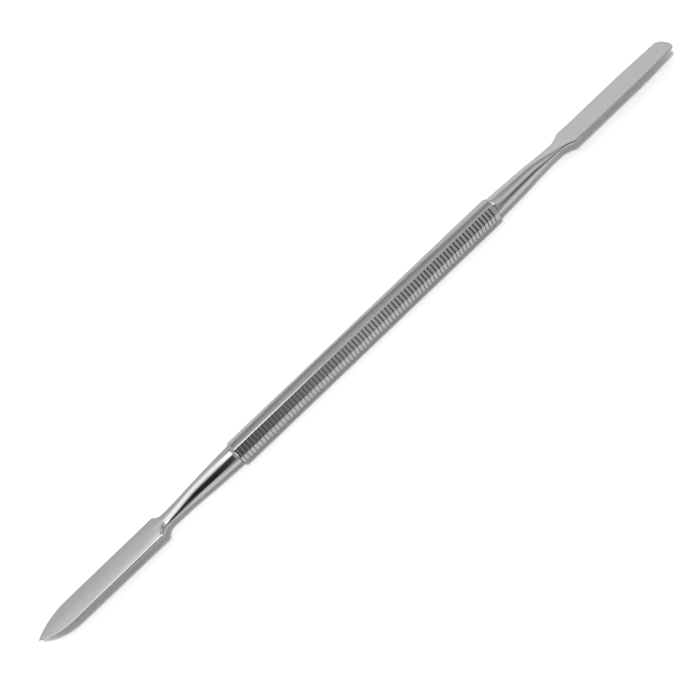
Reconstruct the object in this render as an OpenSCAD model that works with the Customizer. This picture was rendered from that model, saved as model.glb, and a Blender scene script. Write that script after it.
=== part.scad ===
// Double-ended cuticle pusher: an octagonal steel handle with a working end
// pressed into each end. Millimetres, +Z up, X along the tool.

/* [Handle] */
// Distance across the flats of the octagonal bar
handle_flats = 5; // [4.8:0.1:5.6]
// Length of the bar
handle_length = 70.6; // [70:0.1:90]
// How much each corner of the bar is eased off
corner_ease = 0.02; // [0.01:0.01:0.08]
// Size of the chamfer at each end of the bar
end_chamfer = 0.25; // [0.2:0.05:0.5]

/* [Grip grooves] */
// Distance from one groove to the next
groove_pitch = 0.9; // [0.6:0.01:0.91]
// Number of grooves along each grooved facet
groove_count = 77; // [20:1:77]
// Distance from the bar's end at the pointed blade to the first groove
groove_start = 0.8; // [0.6:0.1:1]
// Width of a groove at the facet
groove_width = 0.28; // [0.1:0.02:0.5]
// Depth of a groove
groove_depth = 0.1; // [0.05:0.01:0.2]

/* [Tang joint] */
// Diameter of each tang and of its bore
tang_d = 3; // [2:0.1:3.4]
// Length of a tang
tang_length = 11; // [6:0.5:14]
// Air space between a tang and the bottom of its bore
bore_relief = 1; // [0.5:0.1:2]

/* [Necks] */
// Length from the handle to the pointed blade's shoulders
pointed_neck = 20.3; // [15:0.1:26]
// Length from the handle to the square blade's shoulders
square_neck = 21.1; // [15:0.1:26]
// Diameter of a neck where it meets the handle
neck_root_d = 4.3; // [3.6:0.1:4.6]
// Diameter of a neck just before the blade
neck_waist_d = 2.36; // [2:0.01:2.8]
// How late a neck tapers, where 1 is a straight cone
neck_taper = 1.35; // [1:0.05:1.6]
// How far a neck spreads to each side as it flattens
neck_spread = 0.8; // [0:0.05:1]

/* [Pointed blade] */
// Length from the shoulders to the tip
pointed_length = 30.7; // [20:0.1:40]
// Width between the parallel edges
pointed_width = 6.5; // [5:0.1:7]
// Thickness in the middle of the crowned section, at the shoulders
pointed_root_t = 1.4; // [0.6:0.02:1.6]
// Thickness near the tip
pointed_tip_t = 0.4; // [0.2:0.02:0.6]
// Length of the arched tip
arch_length = 8; // [5:0.5:12]
// Length of the concave run into the shoulders
pointed_flare = 1.7; // [1:0.1:4]
// Turn of the blade from the smooth facet
pointed_turn = -16; // [-22.5:0.5:0]

/* [Square blade] */
// Length from the shoulders to the end
square_length = 29.6; // [20:0.1:40]
// Width at the shoulders
square_width = 6.3; // [5:0.1:7]
// Width just before the rounded end
square_end_width = 5.5; // [5:0.1:7]
// Thickness at the shoulders
square_root_t = 0.4; // [0.4:0.02:1]
// Thickness near the end
square_tip_t = 0.26; // [0.2:0.02:0.5]
// Length over which the end is rounded
round_length = 1.2; // [1:0.1:4]
// Length of the concave run into the shoulders
square_flare = 3.2; // [1:0.1:4]
// Turn of the blade from the smooth facet
square_turn = -18.5; // [-22.5:0.5:0]

/* [Hidden] */

facets = 8;
facet_angle = 360 / facets;
half_flats = handle_flats / 2;
half_length = handle_length / 2;
corner_r = half_flats / cos(facet_angle / 2) - corner_ease;
facet_width = handle_flats * tan(facet_angle / 2);

bore_depth = tang_length + bore_relief;
drill_point = 118;
drill_cone = tang_d / 2 / tan(drill_point / 2);
tang_chamfer = 0.3;

// Points around one ring of a working end, which is a superellipse: round on
// the neck, crowned on the pointed blade and nearly rectangular on the other
ring_points = 32;
round_power = 2;
crowned_power = 3;
slab_power = 9;
// Where a neck starts to flatten before its shoulders, and where it ends after
flatten_before = 11;
flatten_after = 3.5;
// How sharply the concave runs end in the shoulders' corners
shoulder_power = 2;
// Half width of the tip's last ring, and thickness of every ground edge there
tip_half = 0.1;
edge_t = 0.12;
bevel_length = 0.6;
narrow_length = 12;

// Turn of the handle about its axis as the tool lies on a level surface, on
// one corner of the handle and with the blades' lower edges just clear of it
tool_roll = -30;
corner_angle = acos(half_flats / corner_r);
corner_reach = corner_r * cos(facet_angle / 2 - corner_angle - abs(facet_angle / 2 + tool_roll));
axis_height = max(corner_reach, end_reach(true), end_reach(false));
// Half of the difference between the two ends' lengths
centre_shift = (pointed_neck + pointed_length - square_neck - square_length) / 2;

function blend(t) = let (c = min(1, max(0, t))) c * c * (3 - 2 * c);
function mix(a, b, t) = a + (b - a) * t;

// Radius of a round neck at a distance x from the handle
function neck_r(x, neck) =
    mix(neck_root_d, neck_waist_d, pow(min(1, x / (0.88 * neck)), neck_taper)) / 2;

// Half width of the pointed blade at a distance from its tip
function pointed_half(to_tip) =
    let (half = pointed_width / 2,
         r = (pow(arch_length, 2) + pow(half, 2)) / (2 * half),
         x = min(to_tip, arch_length))
    max(tip_half, sqrt(pow(r, 2) - pow(arch_length - x, 2)) - (r - half));

// Half width of the square blade at a distance from its end
function square_half(to_tip) =
    let (narrow = blend(1 - to_tip / narrow_length),
         x = min(1, to_tip / round_length))
    max(tip_half, mix(square_width, square_end_width, narrow) / 2 * sqrt(1 - pow(1 - x, 2)));

// Half width of a working end at a distance x from the handle
function end_half(x, pointed) =
    let (neck = pointed ? pointed_neck : square_neck,
         total = neck + (pointed ? pointed_length : square_length),
         blade = pointed ? pointed_half(total - x) : square_half(total - x),
         flare = pointed ? pointed_flare : square_flare,
         rise = min(1, max(0, (x - neck + flare) / flare)))
    mix(neck_r(x, neck) + neck_spread * flatness(x, neck), blade, pow(rise, shoulder_power));

// Share of the change from neck to blade that is done at a distance x
function flatness(x, neck) = blend((x - neck + flatten_before) / (flatten_before + flatten_after));

// Half thickness of a working end at a distance x from the handle
function end_thick(x, pointed) =
    let (neck = pointed ? pointed_neck : square_neck,
         length = pointed ? pointed_length : square_length,
         root_t = pointed ? pointed_root_t : square_root_t,
         tip_t = pointed ? pointed_tip_t : square_tip_t,
         blade = mix(root_t, tip_t, max(0, x - neck) / length),
         ground = mix(edge_t, blade, min(1, (neck + length - x) / bevel_length)))
    mix(neck_r(x, neck), ground / 2, flatness(x, neck));

function rounded(c, power) = sign(c) * pow(abs(c), 2 / power);

// One closed ring of a working end, in the plane across the tool
function ring(x, pointed) =
    let (neck = pointed ? pointed_neck : square_neck,
         blade_power = pointed ? crowned_power : slab_power,
         power = mix(round_power, blade_power, pow(flatness(x, neck), 2)))
    [for (i = [0 : ring_points - 1])
        let (a = 360 * (i + 0.5) / ring_points)
        [x, end_half(x, pointed) * rounded(cos(a), power),
         end_thick(x, pointed) * rounded(sin(a), power)]];

// Distances from the handle at which a working end has a ring
function stations(neck, length, flare, tip_run) = concat(
    [for (i = [0 : 9]) (neck - flare) * i / 9],
    [for (i = [1 : 7]) neck - flare * pow(1 - i / 7, 2)],
    [for (i = [1 : 4]) neck + flatten_after * i / 4],
    [for (i = [1 : 5]) mix(neck + flatten_after, neck + length - narrow_length, i / 5)],
    [for (i = [1 : 4]) mix(neck + length - narrow_length, neck + length - tip_run, i / 4)],
    [for (i = [1 : 14]) neck + length - tip_run * pow(1 - i / 14, 2)]
);

function end_stations(pointed) =
    pointed ? stations(pointed_neck, pointed_length, pointed_flare, arch_length)
    : stations(square_neck, square_length, square_flare, round_length);

// How far a working end reaches below the handle's axis as the tool lies at rest
function end_reach(pointed) =
    let (a = tool_roll + (pointed ? pointed_turn : square_turn))
    max([for (x = end_stations(pointed), p = ring(x, pointed)) -p.y * sin(a) - p.z * cos(a)]);

// Neck and blade as one body that starts on the plane x = 0
module swept_end(pointed) {
    places = end_stations(pointed);
    rings = len(places);
    last = ring_points * (rings - 1);
    points = [for (x = places) each ring(x, pointed)];
    sides = [for (k = [0 : rings - 2], i = [0 : ring_points - 1])
        let (j = (i + 1) % ring_points, a = ring_points * k, b = a + ring_points)
        each [[a + j, a + i, b + j], [b + j, a + i, b + i]]];
    start_cap = [for (i = [0 : ring_points - 1]) i];
    end_cap = [for (i = [ring_points - 1 : -1 : 0]) last + i];
    polyhedron(points, concat([start_cap], sides, [end_cap]), convexity = 6);
}

// Turned tang with a small lead chamfer, reaching back from x = 0
module tang() {
    r = tang_d / 2;
    rotate([0, -90, 0]) rotate_extrude($fn = 64) polygon([
        [0, -1], [r, -1], [r, tang_length - tang_chamfer],
        [r - tang_chamfer, tang_length], [0, tang_length]
    ]);
}

// A working end in its own frame: the handle's end face is at x = 0
module working_end(pointed) {
    tang();
    rotate([pointed ? pointed_turn : square_turn, 0, 0]) swept_end(pointed);
}

// Blind hole for a tang, drilled from the plane x = 0 towards -X
module tang_bore() {
    r = tang_d / 2;
    rotate([0, -90, 0]) rotate_extrude($fn = 64)
        polygon([[0, -1], [r, -1], [r, bore_depth], [0, bore_depth + drill_cone]]);
}

// Straight V groove across a facet whose normal is +Z
module groove() {
    over = 0.05;
    w = groove_width / 2 * (1 + over / groove_depth);
    rotate([90, 0, 0]) linear_extrude(facet_width * 1.2, center = true)
        polygon([[-w, half_flats + over], [0, half_flats - groove_depth], [w, half_flats + over]]);
}

// Octagonal block along Z, given half its width across the flats at each end
module octagon(low, high) {
    reach = cos(facet_angle / 2);
    rotate([0, 0, facet_angle / 2])
        cylinder(r1 = low / reach, r2 = high / reach, h = handle_length, center = true, $fn = facets);
}

// Octagonal bar with eased corners, and a flat chamfer on every facet's ends
module bar() {
    end_flats = half_flats - end_chamfer;
    rotate([0, 90, 0]) intersection() {
        octagon(half_flats, half_flats);
        octagon(end_flats, end_flats + handle_length);
        octagon(end_flats + handle_length, end_flats);
        rotate_extrude($fn = 96) polygon([
            [0, -half_length], [corner_r, -half_length], [corner_r, half_length], [0, half_length]
        ]);
    }
}

// Lays children out of the handle's own frame onto the surface
module resting() {
    translate([centre_shift, 0, axis_height]) rotate([tool_roll, 0, 0]) children();
}

module handle() {
    color("silver") resting() difference() {
        bar();
        for (side = [0, 180])
            rotate([0, 0, side]) translate([half_length, 0, 0]) tang_bore();
        for (f = [1, 2, 3, 5, 6, 7], i = [0 : groove_count - 1])
            rotate([facet_angle * f, 0, 0])
                translate([groove_start + i * groove_pitch - half_length, 0, 0]) groove();
    }
}

module pointed_end() {
    color("lightgray") resting() mirror([1, 0, 0]) translate([half_length, 0, 0])
        working_end(pointed = true);
}

module square_end() {
    color("lightgray") resting() translate([half_length, 0, 0])
        working_end(pointed = false);
}

handle();
pointed_end();
square_end();
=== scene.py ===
import math

import bmesh
import bpy
from mathutils import Matrix, Vector


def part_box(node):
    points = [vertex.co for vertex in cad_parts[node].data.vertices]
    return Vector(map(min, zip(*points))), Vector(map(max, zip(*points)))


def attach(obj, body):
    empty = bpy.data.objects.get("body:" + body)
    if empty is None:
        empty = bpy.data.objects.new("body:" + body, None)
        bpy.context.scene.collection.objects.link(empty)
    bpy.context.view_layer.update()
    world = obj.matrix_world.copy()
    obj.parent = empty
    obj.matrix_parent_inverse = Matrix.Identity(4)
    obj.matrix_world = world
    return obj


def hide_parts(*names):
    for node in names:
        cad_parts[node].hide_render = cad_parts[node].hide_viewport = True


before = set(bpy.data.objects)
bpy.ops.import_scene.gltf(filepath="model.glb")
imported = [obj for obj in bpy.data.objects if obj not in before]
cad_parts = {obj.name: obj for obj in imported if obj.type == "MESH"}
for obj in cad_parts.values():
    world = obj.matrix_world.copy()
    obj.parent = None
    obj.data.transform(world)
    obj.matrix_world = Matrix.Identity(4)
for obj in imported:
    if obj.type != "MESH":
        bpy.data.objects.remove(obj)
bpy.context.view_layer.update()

# ------------------------------------------------------------------------------------- Handle
# An octagonal bar of bright drawn stainless steel with rounded corners. Six of its facets are
# cut with cross grooves for grip, two opposite ones are left smooth, and each end has a small
# chamfer and a bore for the tang of a working end.
MM = 0.001
bar_low, bar_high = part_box("handle")
bar_axis = Vector((0, (bar_low.y + bar_high.y) / 2, (bar_low.z + bar_high.z) / 2))
bar_roll = math.radians(-30)
facet_reach = 2.5 * MM
facet_turn = math.radians(45)
corner_radius = 0.25 * MM
crown = 0.03 * MM
groove_pitch = 0.9 * MM
groove_total = 77
first_groove = bar_low.x + 0.8 * MM
groove_half = 0.14 * MM
groove_depth = 0.1 * MM
chamfer_length = 0.18 * MM
end_face_radius = 2.4 * MM
bore_radius = 1.5 * MM
bore_depth = 12 * MM


def only(piece):
    """Leaves one object selected and active, and nothing else."""
    bpy.ops.object.select_all(action="DESELECT")
    piece.select_set(True)
    bpy.context.view_layer.objects.active = piece


def pick(kind, test):
    """In edit mode, selects just the vertices, edges or faces that pass the test."""
    bpy.ops.mesh.select_mode(type=kind)
    bpy.ops.mesh.select_all(action="DESELECT")
    mesh = bmesh.from_edit_mesh(bpy.context.object.data)
    for item in {"VERT": mesh.verts, "EDGE": mesh.edges, "FACE": mesh.faces}[kind]:
        item.select_set(bool(test(item)))
    mesh.select_flush_mode()
    bmesh.update_edit_mesh(bpy.context.object.data)


def facing(point):
    """Angle round the bar from +Z, in degrees, from -180 to 180."""
    return math.degrees(math.atan2(-point.y, point.z))


def shrink(x, share):
    """Scales what is selected towards the X axis, about the plane at x."""
    bpy.ops.transform.resize(value=(1, share, share), center_override=(x, 0, 0))


def draw_out(x_step):
    """Extrudes what is selected along X."""
    bpy.ops.mesh.extrude_region_move(TRANSFORM_OT_translate={"value": (x_step, 0, 0)})


def settle(piece, name):
    """Turns a finished mesh into the bar's resting position and bakes its place into it."""
    piece.name = piece.data.name = name
    piece.data.transform(Matrix.Translation(bar_axis) @ Matrix.Rotation(bar_roll, 4, "X"))
    only(piece)
    bpy.ops.object.mode_set(mode="EDIT")
    bpy.ops.mesh.select_all(action="SELECT")
    bpy.ops.mesh.remove_doubles(threshold=1e-7)
    bpy.ops.mesh.normals_make_consistent(inside=False)
    bpy.ops.object.mode_set(mode="OBJECT")
    return piece


def grooved(point):
    """True on the six grooved facets and the corners between them."""
    smooth_side = 24.4
    return smooth_side < abs(facing(point)) < 180 - smooth_side


# One pitch of the bar, with a groove across its middle
bpy.ops.object.select_all(action="DESELECT")
bpy.ops.mesh.primitive_cylinder_add(
    vertices=8, radius=facet_reach / math.cos(facet_turn / 2), depth=groove_pitch,
    end_fill_type="NOTHING", rotation=(0, math.pi / 2, 0))
handle_bar = bpy.context.object
bpy.ops.object.transform_apply(location=True, rotation=True, scale=True)
bpy.ops.object.mode_set(mode="EDIT")
bpy.ops.mesh.select_all(action="SELECT")
bpy.ops.transform.rotate(value=facet_turn / 2, orient_axis="X", center_override=(0, 0, 0))
pick("EDGE", lambda e: abs(e.verts[0].co.x - e.verts[1].co.x) > groove_pitch / 2)
bpy.ops.mesh.bevel(offset=corner_radius * math.tan(facet_turn / 2), segments=4, profile=0.5)
facet_edge = (facet_reach - corner_radius) * math.tan(facet_turn / 2)
pick("EDGE", lambda e: e.calc_length() > 1.9 * facet_edge
     and abs(e.verts[0].co.x - e.verts[1].co.x) < 1e-7)
bpy.ops.mesh.subdivide(number_cuts=3)

# Each facet is slightly crowned: its middle rises most, and its quarter lines a little less
for facet in range(8):
    angle = facet * facet_turn
    normal = Vector((0, -math.sin(angle), math.cos(angle)))
    across = Vector((0, math.cos(angle), math.sin(angle)))
    for inner, outer, rise in ((0.0, 0.2, 1.0), (0.3, 0.7, 0.75)):
        pick("VERT", lambda v: v.co.dot(normal) > 0.99 * facet_reach
             and inner * facet_edge <= abs(v.co.dot(across)) <= outer * facet_edge)
        bpy.ops.transform.translate(value=normal * crown * rise)

# Distances from the groove's middle, each with its share of the depth
groove_cuts = ((groove_half + 0.04 * MM, 0), (groove_half - 0.02 * MM, 0.15), (0.03 * MM, 1))
for x, _ in groove_cuts:
    for side in (-1, 1):
        bpy.ops.mesh.select_all(action="SELECT")
        bpy.ops.mesh.bisect(plane_co=(side * x, 0, 0), plane_no=(1, 0, 0))
for x, share in groove_cuts[1:]:
    pick("VERT", lambda v: abs(abs(v.co.x) - x) < 1e-6 and grooved(v.co))
    shrink(0, 1 - share * groove_depth / facet_reach)
bpy.ops.object.mode_set(mode="OBJECT")

# All the pitches in a row, then the plain stretch, chamfer and bore at each end
only(handle_bar)
row = handle_bar.modifiers.new("row of grooves", "ARRAY")
row.count = groove_total
row.use_relative_offset = False
row.use_constant_offset = True
row.constant_offset_displace = (groove_pitch, 0, 0)
row.use_merge_vertices = True
row.merge_threshold = 1e-6
bpy.ops.object.modifier_apply(modifier=row.name)
handle_bar.location.x = first_groove
bpy.ops.object.transform_apply(location=True, rotation=True, scale=True)
bpy.ops.object.mode_set(mode="EDIT")
for side, end, rim in (
    (-1, bar_low.x, first_groove - groove_pitch / 2),
    (1, bar_high.x, first_groove + (groove_total - 0.5) * groove_pitch),
):
    pick("VERT", lambda v: abs(v.co.x - rim) < 1e-6)
    bpy.ops.mesh.select_mode(type="EDGE")
    draw_out(end - side * chamfer_length - rim)
    draw_out(side * chamfer_length)
    bpy.ops.transform.tosphere(value=1, center_override=(end, 0, 0))
    pick("VERT", lambda v: abs(v.co.x - end) < 1e-6)
    rim_verts = [v.co.yz.length for v in bmesh.from_edit_mesh(handle_bar.data).verts if v.select]
    shrink(end, end_face_radius * len(rim_verts) / sum(rim_verts))
    bpy.ops.mesh.select_mode(type="EDGE")
    draw_out(0)
    shrink(end, bore_radius / end_face_radius)
    draw_out(-side * bore_depth)
    draw_out(-side * bore_radius / 2)
    bpy.ops.mesh.merge(type="CENTER")
bpy.ops.object.mode_set(mode="OBJECT")
settle(handle_bar, "handle_bar")
bpy.ops.object.shade_smooth_by_angle(angle=math.radians(22))


class Signal:
    """One output in a node tree. Arithmetic on it adds Math nodes."""

    def __init__(self, tree, socket):
        self.tree = tree
        self.socket = socket

    def node(self, kind, settings=None, inputs=None):
        """Adds any node: its settings come first, then the values or links of its sockets."""
        made = self.tree.nodes.new(kind)
        for name, value in (settings or {}).items():
            if name == "stops":
                ramp = made.color_ramp.elements
                while len(ramp) < len(value):
                    ramp.new(1)
                for element, (place, tone) in zip(ramp, value):
                    element.position = place
                    element.color = (tone, tone, tone, 1)
            else:
                setattr(made, name, value)
        for name, value in (inputs or {}).items():
            if isinstance(value, Signal):
                self.tree.links.new(value.socket, made.inputs[name])
            else:
                made.inputs[name].default_value = value
        return Signal(self.tree, made.outputs[0])

    def math(self, operation, *others):
        """A Math node with this signal first."""
        values = dict(enumerate((self,) + others))
        return self.node("ShaderNodeMath", {"operation": operation}, values)

    def __add__(self, other):
        return self.math("ADD", other)

    __radd__ = __add__

    def __sub__(self, other):
        return self.math("SUBTRACT", other)

    def __rsub__(self, other):
        return (self * -1) + other

    def __mul__(self, other):
        return self.math("MULTIPLY", other)

    __rmul__ = __mul__

    def __truediv__(self, other):
        return self.math("DIVIDE", other)

    def rises(self, low, high):
        """0 below low, 1 above high, smooth between."""
        return self.node("ShaderNodeMapRange", {"interpolation_type": "SMOOTHSTEP"}, {
            "Value": self, "From Min": low, "From Max": high})


def axes(vector):
    """The X, Y and Z of a vector signal."""
    parts = vector.node("ShaderNodeSeparateXYZ", None, {"Vector": vector})
    return [Signal(vector.tree, output) for output in parts.socket.node.outputs]


def steel(name):
    """Starts a metal: its shader, and its Object coordinates turned square to the bar."""
    material = bpy.data.materials.new(name)
    material.use_nodes = True
    tree = material.node_tree
    shader = tree.nodes["Principled BSDF"]
    shader.inputs["Metallic"].default_value = 1
    shader.inputs["Specular Tint"].default_value = (0.55, 0.55, 0.55, 1)
    material.diffuse_color = (0.43, 0.43, 0.43, 1)
    here = Signal(tree, tree.nodes.new("ShaderNodeTexCoord").outputs["Object"])
    square = here.node("ShaderNodeMapping", {"vector_type": "POINT"}, {
        "Vector": here, "Location": -(Matrix.Rotation(-bar_roll, 3, "X") @ bar_axis),
        "Rotation": (-bar_roll, 0, 0)})
    return material, shader, square


def feed(shader, socket, signal):
    """Links a signal to one of a shader's sockets."""
    signal.tree.links.new(signal.socket, shader.inputs[socket])


def steel_grey(signal):
    """A colour from a grey level, with a trace of warmth."""
    warmth = 0.004
    return signal.node("ShaderNodeCombineColor", None, {
        "Red": signal * (1 + warmth), "Green": signal, "Blue": signal * (1 - warmth)})


def streaks(square, along, across):
    """Fine lines along X: noise at a coarse scale along the bar and a fine one across it."""
    drawn = square.node("ShaderNodeMapping", {"vector_type": "POINT"}, {
        "Vector": square, "Scale": (along, across, across)})
    return drawn.node("ShaderNodeTexNoise", {"noise_dimensions": "3D"}, {
        "Vector": drawn, "Scale": 1.0, "Detail": 3.0, "Roughness": 0.6})


# Bright steel, duller down in the grooves, with painted shade darkening it there and on the side
# facets
handle_steel, shader, square = steel("handle_steel")
_, across, up = axes(square)
angle = (across * -1).math("ARCTAN2", up)
reach = (across * across + up * up).math("SQRT")
fold = (angle / facet_turn + 0.5).math("FRACT") - 0.5
height = reach * (fold * facet_turn).math("COSINE")
sunk = 1 - height.rises(facet_reach - groove_depth, facet_reach - 0.15 * groove_depth)
side_facets = angle.math("ABSOLUTE").rises(1.1, 1.25)
# Painted shade in the base colour: darker down in the grooves and on the facets at the sides
painted_shade = 0.12 * sunk + side_facets * (0.06 + 0.25 * (sunk * 2).math("MINIMUM", 1))
drawn_lines = streaks(square, 300, 9000)
clouds = square.node("ShaderNodeTexNoise", None, {"Vector": square, "Scale": 900.0, "Detail": 2.0})
feed(shader, "Base Color", steel_grey((0.45 - painted_shade) * (0.94 + 0.12 * clouds)))
feed(shader, "Roughness", 0.11 + 0.16 * sunk + 0.08 * (drawn_lines - 0.5) + 0.05 * (clouds - 0.5))
feed(shader, "Normal", drawn_lines.node("ShaderNodeBump", None, {
    "Strength": 0.25, "Distance": 0.004 * MM, "Height": drawn_lines}))
handle_bar.data.materials.clear()
handle_bar.data.materials.append(handle_steel)
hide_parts("handle")
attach(handle_bar, "root")

# --------------------------------------------------------------------------------- Working ends
# Each end is one piece of stainless steel: a tang for the bore, a round tapered neck, and a
# blade that is forged wide and ground flat. The pointed blade is thick at its shoulders and
# arched to a point; the other is thin, straight sided, and rounded off square at its end.
tang_length = 11 * MM
tang_chamfer = 0.3 * MM
bevel_length = 0.6 * MM
neck_root = 2.15 * MM
neck_waist = 1.18 * MM
neck_taper = 1.35
neck_spread = 0.8 * MM
pointed_turn = math.radians(-16)
square_turn = math.radians(-18.5)
flatten_before = 11 * MM
flatten_after = 3.5 * MM
ground_edge = 0.12 * MM
tip_half = 0.1 * MM
arch_length = 8 * MM
oval_length = 1.2 * MM
ring_points = 48


def mix(a, b, share):
    """A value part of the way from a to b."""
    return a + (b - a) * share


def ease(share):
    """A share kept within 0 and 1, with a soft start and stop."""
    share = min(1, max(0, share))
    return share * share * (3 - 2 * share)


def arched(to_tip, half, arch):
    """Half width of a blade whose edges are two arcs that meet at its tip."""
    arc = (arch ** 2 + half ** 2) / (2 * half)
    return math.sqrt(arc ** 2 - (arch - min(to_tip, arch)) ** 2) - (arc - half)


def squared(to_tip, half, end_half, narrow, rounding):
    """Half width of a blade that narrows a little and ends in a flat oval."""
    straight = mix(half, end_half, ease(1 - to_tip / narrow))
    return straight * math.sqrt(1 - (1 - min(1, to_tip / rounding)) ** 2)


def forge(name, side, start, turn, neck, length, flare, half_at, root, tip, tip_rings):
    """Draws a working end out of a round bar ring by ring, along X from the handle's end face.

    half_at gives the blade's half width at a distance from its tip. root and tip each hold
    the blade's thickness there and the share by which its faces are pressed flat.
    """
    rings = [(-tang_length + tang_chamfer, bore_radius, bore_radius, 0),
             (0, bore_radius, bore_radius, 0), (0, neck_root, neck_root, 0)]
    end = neck + length
    places = [(neck - flare) * i / 24 for i in range(1, 25)]
    places += [neck - flare * (1 - i / 14) ** 2 for i in range(1, 15)]
    places += [neck + flatten_after * i / 6 for i in range(1, 7)]
    places += [mix(neck + flatten_after, end - tip_rings[0], i / 16) for i in range(1, 17)]
    places += [end - to_tip for to_tip in tip_rings[1:]]
    for x in places:
        round_r = mix(neck_root, neck_waist, min(1, x / (0.88 * neck)) ** neck_taper)
        flat = ease((x - neck + flatten_before) / (flatten_before + flatten_after))
        along = max(0, x - neck) / length
        blade = mix(ground_edge, mix(root[0], tip[0], along), min(1, (end - x) / bevel_length))
        rise = 1 if x >= neck else max(0, 1 - (neck - x) / flare) ** 2
        half = mix(round_r + neck_spread * flat, max(tip_half, half_at(end - x)), rise)
        pressed = flat ** 1.5 * mix(root[1], tip[1], along)
        rings.append((x, half, mix(round_r, blade / 2, flat), pressed))
    bpy.ops.object.select_all(action="DESELECT")
    bpy.ops.mesh.primitive_circle_add(
        vertices=ring_points, radius=bore_radius - tang_chamfer, fill_type="NGON",
        rotation=(0, math.pi / 2, 0))
    piece = bpy.context.object
    piece.location.x = -tang_length
    bpy.ops.object.transform_apply(location=True, rotation=True, scale=True)
    bpy.ops.object.mode_set(mode="EDIT")
    bpy.ops.mesh.select_all(action="SELECT")
    bpy.ops.transform.rotate(
        value=math.pi / ring_points, orient_axis="X", center_override=(0, 0, 0))
    last_x, last_pressed = -tang_length, 0
    last_half = last_thick = bore_radius - tang_chamfer
    for x, half, thick, pressed in rings:
        draw_out(x - last_x)
        bpy.ops.transform.resize(
            value=(1, half / last_half, thick / last_thick), center_override=(x, 0, 0))
        if pressed > last_pressed:
            keep = (1 - pressed) / (1 - last_pressed)
            for face in (-1, 1):
                pick("VERT", lambda v: abs(v.co.x - x) < 1e-6 and v.co.z * face > 0
                     and abs(v.co.y) < 0.99 * half)
                bpy.ops.transform.resize(value=(1, 1, keep), center_override=(x, 0, face * thick))
            pick("VERT", lambda v: abs(v.co.x - x) < 1e-6)
            bpy.ops.mesh.select_mode(type="FACE")
        last_x, last_half, last_thick, last_pressed = x, half, thick, max(pressed, last_pressed)
    bpy.ops.object.mode_set(mode="OBJECT")
    place = Matrix.Translation((start, 0, 0)) @ Matrix.Scale(side, 4, (1, 0, 0))
    piece.data.transform(place @ Matrix.Rotation(turn, 4, "X"))
    settle(piece, name)
    worn = piece.modifiers.new("edge", "BEVEL")
    worn.width = 0.04 * MM
    worn.segments = 2
    worn.limit_method = "ANGLE"
    worn.angle_limit = math.radians(35)
    bpy.ops.object.modifier_apply(modifier=worn.name)
    bpy.ops.object.shade_smooth_by_angle(angle=math.radians(30))
    return piece


pointed_blade = forge(
    "pointed_blade", side=-1, start=bar_low.x, turn=pointed_turn,
    neck=20.3 * MM, length=30.7 * MM, flare=1.7 * MM,
    half_at=lambda to_tip: arched(to_tip, half=3.25 * MM, arch=arch_length),
    root=(1.4 * MM, 0.2), tip=(0.4 * MM, 0.3),
    tip_rings=[arch_length * (1 - i / 18) ** 1.6 for i in range(19)])
square_blade = forge(
    "square_blade", side=1, start=bar_high.x, turn=square_turn,
    neck=21.1 * MM, length=29.6 * MM, flare=3.2 * MM,
    half_at=lambda to_tip: squared(
        to_tip, half=3.15 * MM, end_half=2.75 * MM, narrow=12 * MM, rounding=oval_length),
    root=(0.4 * MM, 0.94), tip=(0.26 * MM, 0.97),
    tip_rings=[oval_length * (1 - i / 14) ** 2 for i in range(15)])

# Polished on the necks, satin with fine grinding lines along the blades. On the pointed end the
# base colour carries painted shade, darker above on the neck and over the blade and lighter
# towards its lower edge.
blade_steel, shader, square = steel("blade_steel")
along, across, up = axes(square)
ground = along.math("ABSOLUTE").rises(bar_high.x + 17.5 * MM, bar_high.x + 23 * MM)
grind_lines = streaks(square, 120, 5200)
haze = square.node("ShaderNodeTexNoise", None, {"Vector": square, "Scale": 500.0, "Detail": 3.0})
upper_side = 1 - (across * -1).math("ARCTAN2", up).rises(-0.25, 0.3)
over_blade = across * -math.cos(pointed_turn) + up * -math.sin(pointed_turn)
lower_edge = over_blade.rises(-1.2 * MM, 3 * MM)
at_point = 1 - along.rises(-bar_high.x, bar_high.x)
# Painted shade on the pointed end: darker above on the neck and over the blade, lighter near its
# lower edge
painted_shade_on_point = at_point * (0.09 * ground * (1 - lower_edge) + 0.14 * (1 - ground) * upper_side)
feed(shader, "Base Color", steel_grey((0.45 - 0.02 * ground - painted_shade_on_point) * (0.95 + 0.10 * haze)))
feed(shader, "Roughness", 0.07 + ground * (0.16 + 0.12 * (grind_lines - 0.5)) + 0.03 * haze)
feed(shader, "Normal", grind_lines.node("ShaderNodeBump", None, {
    "Strength": 0.3, "Distance": 0.004 * MM, "Height": grind_lines * ground}))
for blade, node in ((pointed_blade, "pointed_end"), (square_blade, "square_end")):
    blade.data.materials.clear()
    blade.data.materials.append(blade_steel)
    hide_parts(node)
    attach(blade, "root")

# ---------------------------------------------------------------------------------------- Stage
# A plain white floor under a soft studio sky. One round lamp hangs over the tool and isn't
# reflected in it. The sky changes with its lean, which is its angle from straight up towards
# -Y in degrees, and each of the tool's three parts has its own stretch of sky along X.
bpy.ops.object.select_all(action="DESELECT")
bpy.ops.mesh.primitive_circle_add(vertices=96, radius=4.0, fill_type="NGON", location=(0, 0, 0))
floor = bpy.context.object
floor.name = "floor"
floor_paint = bpy.data.materials.new("floor_paint")
floor_paint.use_nodes = True
paint = floor_paint.node_tree.nodes["Principled BSDF"]
paint.inputs["Base Color"].default_value = (0.9, 0.9, 0.9, 1)
paint.inputs["Roughness"].default_value = 1
paint.inputs["Specular IOR Level"].default_value = 0
floor.data.materials.append(floor_paint)

lamp = bpy.data.objects.new("lamp", bpy.data.lights.new("lamp", "AREA"))
bpy.context.scene.collection.objects.link(lamp)
lamp.data.shape = "DISK"
lamp.data.size = 0.06
lamp.data.energy = 1.5
lamp.visible_glossy = False
lamp.location = (-0.048, 0.073, 0.471)
lamp.rotation_euler = (Vector((0, 0, 0)) - lamp.location).to_track_quat("-Z", "Y").to_euler()

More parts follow.
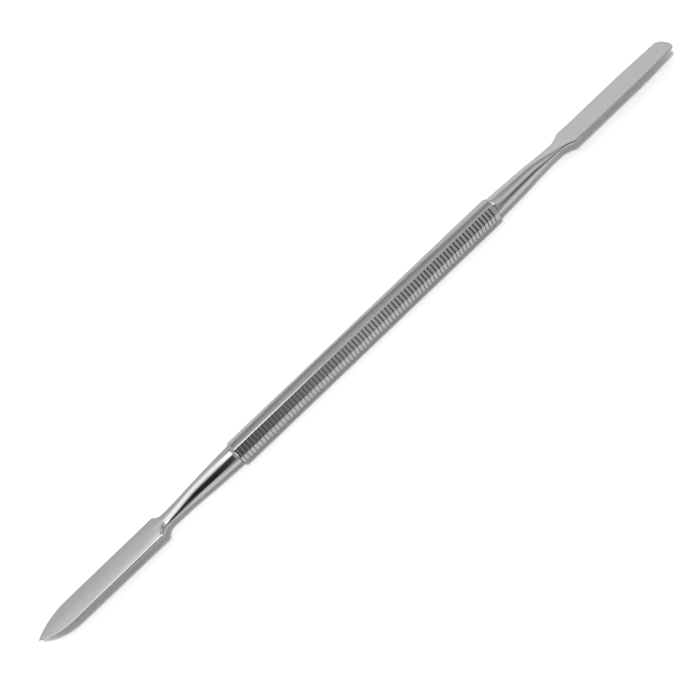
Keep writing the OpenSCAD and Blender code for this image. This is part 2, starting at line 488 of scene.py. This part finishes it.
sky = bpy.data.worlds.new("sky")
bpy.context.scene.world = sky
sky.use_nodes = True
sky_tree = sky.node_tree
direction = Signal(sky_tree, sky_tree.nodes.new("ShaderNodeTexCoord").outputs["Generated"])
sky_x, sky_y, sky_z = axes(direction)
lean = (sky_y * -1).math("ARCTAN2", sky_z) * (180 / math.pi)


def stops_along(signal, low, high, stops):
    """Brightness by a signal: stops of its value and the brightness there, up to 2.5."""
    brightest = 2.5
    places = [((value - low) / (high - low), bright / brightest) for value, bright in stops]
    share = (signal - low) / (high - low)
    return signal.node("ShaderNodeValToRGB", {"stops": places}, {"Fac": share}) * brightest


# Over the pointed end it is bright on the +Y side and black past straight up
over_point = stops_along(lean, -90, 90, [
    (-90, 1.0), (-84, 1.3), (-76, 1.7), (-66, 1.85), (-48, 2.05), (-30, 1.7), (-15, 1.2),
    (-4, 0.5), (5, 0.07), (20, 0.03), (31, 0.05), (45, 0.02), (56, 0.01), (63, 0.15),
    (71, 0.9), (90, 1.0)])

# Over the handle a thin dark line drifts with X, and the light changes along the upper facet
line_drift = 8 * sky_x.rises(0.06, 0.30) + 5 * (1 - sky_x.rises(-0.03, 0.07))
over_handle = stops_along(lean - line_drift, -90, 90, [
    (-90, 1.06), (-77, 1.04), (-74.5, 0.35), (-72, 0.36), (-69, 0.6), (-60, 0.8), (-46, 0.8),
    (-34, 1.1), (-20, 1.1), (-9, 0.6), (0, 0.4), (50, 0.4), (70, 0.5), (90, 1.0)])
corner_glow = lean.rises(-62, -48) * (1 - lean.rises(-14, -4)) * (1 - sky_x.rises(0.02, 0.1))
facet_light = stops_along(sky_x, -0.1, 0.4, [
    (-0.02, 0.3), (0.03, 0.6), (0.06, 0.95), (0.10, 1.15),
    (0.123, 2.1), (0.15, 1.7), (0.175, 1.45), (0.4, 1.55)])
facing_up = lean.rises(-12, 2) * (1 - lean.rises(45, 60))
over_handle = over_handle * (1 - facing_up + facing_up * facet_light) + 1.8 * corner_glow

# Over the square end it rises and falls softly
over_square = stops_along(lean, -90, 90, [
    (-90, 1.2), (-83, 1.2), (-66, 0.89), (-52, 0.54), (-38, 0.59), (-26, 0.67), (-13, 0.87),
    (0, 1.12), (12, 1.06), (24, 0.66), (36, 0.24), (49, 0.19), (62, 0.5), (77, 1.12), (90, 1.2)])

# The three meet softly along X, each far end has its own light, and what the lens sees
# directly, past the floor, is a plain grey
to_handle = sky_x.rises(-0.14, -0.05)
to_square = sky_x.rises(0.28, 0.38)
tone = (over_point * (1 - to_handle) + over_handle * to_handle * (1 - to_square)
        + over_square * to_square)
ends = sky_x.math("ABSOLUTE").rises(0.55, 0.75)
end_light = 0.15 + 2.4 * (sky_x * -1).rises(0.87, 0.94) + 0.35 * sky_x.rises(0.5, 0.6)
tone = tone * (1 - ends) + end_light * ends
backdrop = Signal(sky_tree, sky_tree.nodes.new("ShaderNodeLightPath").outputs["Is Camera Ray"])
tone = tone * (1 - backdrop) + 0.66 * backdrop
sky_tree.links.new(tone.socket, sky_tree.nodes["Background"].inputs["Strength"])
sky_tree.nodes["Background"].inputs["Color"].default_value = (1, 1, 1, 1)

# --------------------------------------------------------------------------------------- Camera
# The lens looks down on the tool from close above. The tool crosses the frame from corner to
# corner, with its pointed end at the lower left.
lens_turn = math.radians(-44.02)
lens_height = math.radians(81)
lens_reach = 235.5 * MM
aim = Vector((-4.75 * MM, -0.57 * MM, 0.2 * MM))
right = Vector((math.cos(lens_turn), math.sin(lens_turn), 0))
level = Vector((-math.sin(lens_turn), math.cos(lens_turn), 0))
back = Vector((0, 0, math.sin(lens_height))) - level * math.cos(lens_height)
camera = bpy.data.objects.new("camera", bpy.data.cameras.new("camera"))
bpy.context.scene.collection.objects.link(camera)
turned = Matrix((right, back.cross(right), back)).transposed()
camera.matrix_world = Matrix.Translation(aim + back * lens_reach) @ turned.to_4x4()
camera.data.sensor_width = 36
camera.data.lens = 60.8914
camera.data.clip_start = 0.01
bpy.context.scene.camera = camera
bpy.context.scene.view_settings.view_transform = "Standard"
